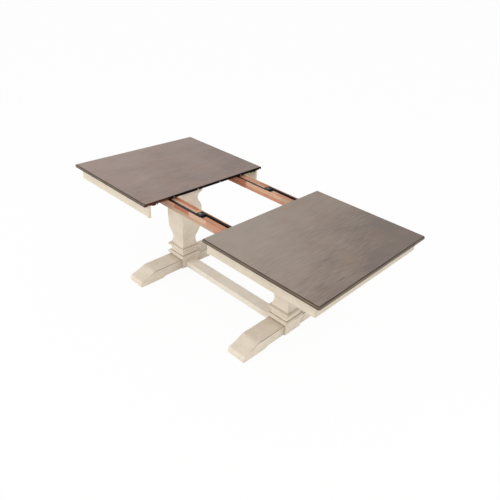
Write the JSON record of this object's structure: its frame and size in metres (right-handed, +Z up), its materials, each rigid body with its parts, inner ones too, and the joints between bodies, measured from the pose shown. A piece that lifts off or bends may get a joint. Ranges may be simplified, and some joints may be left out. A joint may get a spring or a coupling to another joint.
{
  "type": "extending dining table",
  "caption": "Rectangular dining table on square baluster pedestals with a stretcher, whose top halves slide apart on geared wooden slides for a leaf.",
  "frame": {"origin": "on the floor under the middle of the table", "axes": "+X along the table, the way its halves slide; +Y across it; +Z up"},
  "size_m": [2.159, 1.0668, 0.762],
  "materials": {
    "left_top_wood": "grey-brown stain under a satin lacquer",
    "right_top_wood": "grey-brown stain under a satin lacquer",
    "painted_wood": "cream paint with a brown glaze in the creases, eggshell",
    "inner_wood": "bare hardwood, sanded",
    "slide_wood": "bare finger-jointed hardwood, waxed",
    "black_steel": "black oxide, satin",
    "bright_steel": "zinc plated",
    "brass": "passivated plate",
    "nylon": "moulded nylon"
  },
  "bodies": {
    "base": {"left_post_block": "painted_wood", "left_base_moulding": "painted_wood", "left_column": "painted_wood", "left_cap_plate": "painted_wood", "left_cross_beam": "inner_wood", "left_near_foot": "painted_wood", "left_far_foot": "painted_wood", "right_post_block": "painted_wood", "right_base_moulding": "painted_wood", "right_column": "painted_wood", "right_cap_plate": "painted_wood", "right_cross_beam": "inner_wood", "right_near_foot": "painted_wood", "right_far_foot": "painted_wood", "stretcher": "painted_wood", "stretcher_studs": "bright_steel", "foot_glides": "nylon", "near_centre_slide": "slide_wood", "far_centre_slide": "slide_wood", "near_pinion_bracket": "black_steel", "far_pinion_bracket": "black_steel", "near_pinion_axle": "bright_steel", "far_pinion_axle": "bright_steel"},
    "left_half": {"left_top": "left_top_wood", "left_near_apron": "painted_wood", "left_far_apron": "painted_wood", "left_end_apron": "painted_wood", "left_corner_blocks": "inner_wood", "left_battens": "inner_wood", "left_near_rail": "slide_wood", "left_far_rail": "slide_wood", "left_near_rack": "black_steel", "left_far_rack": "black_steel", "alignment_pins": "bright_steel", "latch_plates": "black_steel"},
    "right_half": {"right_top": "right_top_wood", "right_near_apron": "painted_wood", "right_far_apron": "painted_wood", "right_end_apron": "painted_wood", "right_corner_blocks": "inner_wood", "right_battens": "inner_wood", "right_near_rail": "slide_wood", "right_far_rail": "slide_wood", "right_near_rack": "black_steel", "right_far_rack": "black_steel", "latch_keepers": "black_steel"},
    "near_gear": {"near_pinion": "black_steel"},
    "far_gear": {"far_pinion": "black_steel"},
    "near_lever": {"near_latch_lever": "brass"},
    "far_lever": {"far_latch_lever": "brass"}
  },
  "joints": [
    {"name": "left_slide", "type": "slide", "parent": "base", "child": "left_half", "axis": [1, 0, 0], "range_m": [0, 0.2665]},
    {"name": "right_slide", "type": "slide", "parent": "base", "child": "right_half", "axis": [-1, 0, 0], "range_m": [0, 0.2665]},
    {"name": "near_pinion_turn", "type": "hinge", "parent": "base", "child": "near_gear", "pos_m": [0, -0.3125, 0.736], "axis": [0, 0, 1], "range_deg": [0, 680]},
    {"name": "far_pinion_turn", "type": "hinge", "parent": "base", "child": "far_gear", "pos_m": [0, 0.3125, 0.736], "axis": [0, 0, 1], "range_deg": [0, 680]},
    {"name": "near_latch_turn", "type": "hinge", "parent": "left_half", "child": "near_lever", "pos_m": [-0.2797, -0.458, 0.7394], "axis": [0, 0, -1], "range_deg": [0, 90]},
    {"name": "far_latch_turn", "type": "hinge", "parent": "left_half", "child": "far_lever", "pos_m": [-0.2797, 0.458, 0.7394], "axis": [0, 0, 1], "range_deg": [0, 90]}
  ],
  "couplings": [
    {"joint": "right_slide", "follows": "left_slide", "ratio": 1},
    {"joint": "near_pinion_turn", "follows": "left_slide", "rad_per_m": 44.444},
    {"joint": "far_pinion_turn", "follows": "left_slide", "rad_per_m": 44.444}
  ]
}
